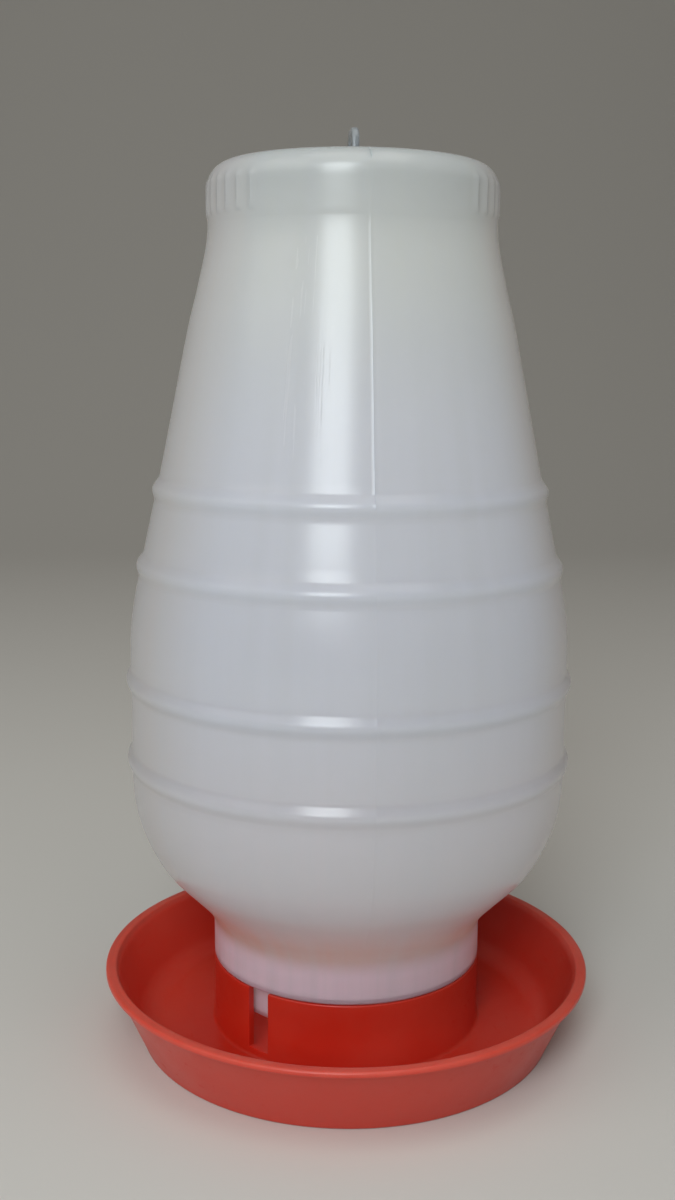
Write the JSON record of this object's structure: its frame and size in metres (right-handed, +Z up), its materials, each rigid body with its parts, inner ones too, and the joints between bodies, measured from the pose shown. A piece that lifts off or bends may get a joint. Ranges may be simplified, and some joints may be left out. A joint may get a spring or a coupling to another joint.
{
  "type": "poultry drinker",
  "caption": "Gravity drinker for poultry: a milky jar standing mouth down on the collar of a round red drinking tray, kept full through slots in the collar.",
  "frame": {"origin": "middle of the underside of the tray's foot ring", "axes": "+Z up along the drinker's axis; the jar's parting plane and hanging tab lie in the YZ plane"},
  "size_m": [0.2, 0.2, 0.3629],
  "materials": {
    "milky_plastic": "translucent milky white blow-moulded polyethylene, satin, with fine vertical scratches",
    "red_plastic": "opaque red injection-moulded plastic, satin gloss"
  },
  "bodies": {
    "tray": {"tray": "red_plastic"},
    "jar": {"jar": "milky_plastic"}
  },
  "joints": [
    {"name": "jar_lift", "type": "slide", "parent": "tray", "child": "jar", "axis": [0, 0, 1], "range_m": [0, 0.06]}
  ]
}
